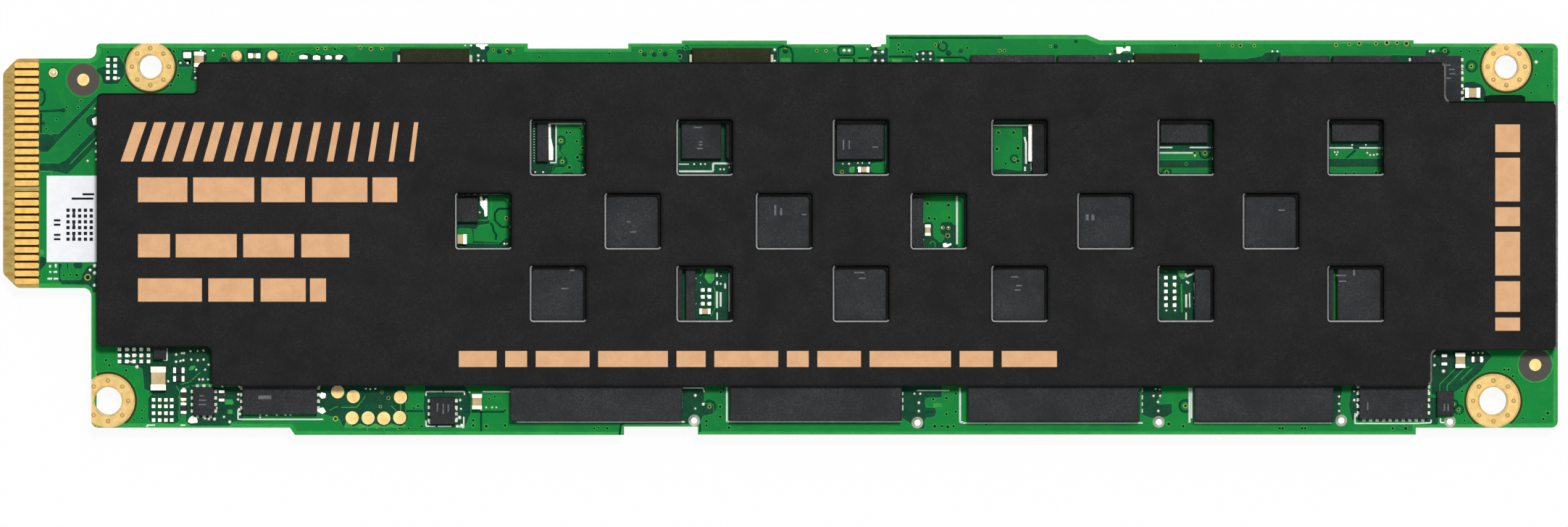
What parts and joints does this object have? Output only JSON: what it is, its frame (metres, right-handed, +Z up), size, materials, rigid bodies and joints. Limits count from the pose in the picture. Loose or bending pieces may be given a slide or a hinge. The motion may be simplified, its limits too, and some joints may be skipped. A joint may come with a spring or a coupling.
{
  "type": "ruler ssd module",
  "caption": "Bare ruler-format solid state drive: long green circuit board with a gold edge connector, chips on both faces and a thin black windowed heat spreader.",
  "frame": {"origin": "centre of the base, on the plane of the lower chips' faces", "axes": "+X from the edge connector to the far end, +Y to the edge with the large capacitors, +Z up through the board to the heat spreader"},
  "size_m": [0.1188, 0.0306, 0.0048],
  "materials": {
    "board": "glossy green solder mask over glass laminate, bare tan laminate at the tongue's tip",
    "gold": "satin gold plating",
    "tin": "bright tinned solder",
    "spreader": "matt black coating with a fine grain and copper-coloured print",
    "film": "matt thermal adhesive",
    "label": "matt white paper",
    "moulding": "matt dark grey moulding compound",
    "inductor_body": "pressed iron powder, matt",
    "olive_body": "olive-brown moulding",
    "black_body": "black moulding",
    "ceramic_body": "tan ceramic",
    "resistor_body": "black overglaze"
  },
  "bodies": {
    "root": {"circuit_board": "board", "top_edge_contacts": "gold", "bottom_edge_contacts": "gold", "plated_hole_upper_left": "gold", "plated_hole_upper_right": "gold", "plated_hole_lower_left": "gold", "plated_hole_lower_right": "gold", "fiducial_dots": "gold", "test_pads": "gold", "solder_pads": "tin", "solder_mounds": "tin", "chip_pads": "tin", "inductor_terminals": "tin", "holdup_terminals": "tin", "ceramic_capacitor_ends": "tin", "resistor_ends": "tin", "heat_spreader": "spreader", "thermal_film": "film", "paper_label": "label", "flash_package_1": "moulding", "flash_package_2": "moulding", "flash_package_3": "moulding", "flash_package_4": "moulding", "flash_package_5": "moulding", "flash_package_6": "moulding", "flash_package_7": "moulding", "flash_package_8": "moulding", "controller_chip": "moulding", "memory_chip_1": "moulding", "memory_chip_2": "moulding", "power_manager_chip": "moulding", "holdup_controller_chip": "moulding", "boot_memory_chip": "moulding", "load_switch_chip": "moulding", "bus_expander_chip": "moulding", "reset_chip": "moulding", "temperature_sensor_chip": "moulding", "regulator_chip_1": "moulding", "regulator_chip_2": "moulding", "regulator_chip_3": "moulding", "regulator_chip_4": "moulding", "gate_switch_chip_1": "moulding", "gate_switch_chip_2": "moulding", "bus_buffer_chip_1": "moulding", "bus_buffer_chip_2": "moulding", "power_inductor_1": "inductor_body", "power_inductor_2": "inductor_body", "holdup_capacitor_1": "olive_body", "holdup_capacitor_2": "olive_body", "holdup_capacitor_3": "olive_body", "polymer_capacitor_1": "black_body", "polymer_capacitor_2": "black_body", "polymer_capacitor_3": "black_body", "polymer_capacitor_4": "black_body", "ceramic_capacitor_bodies": "ceramic_body", "resistor_bodies": "resistor_body"}
  },
  "joints": []
}
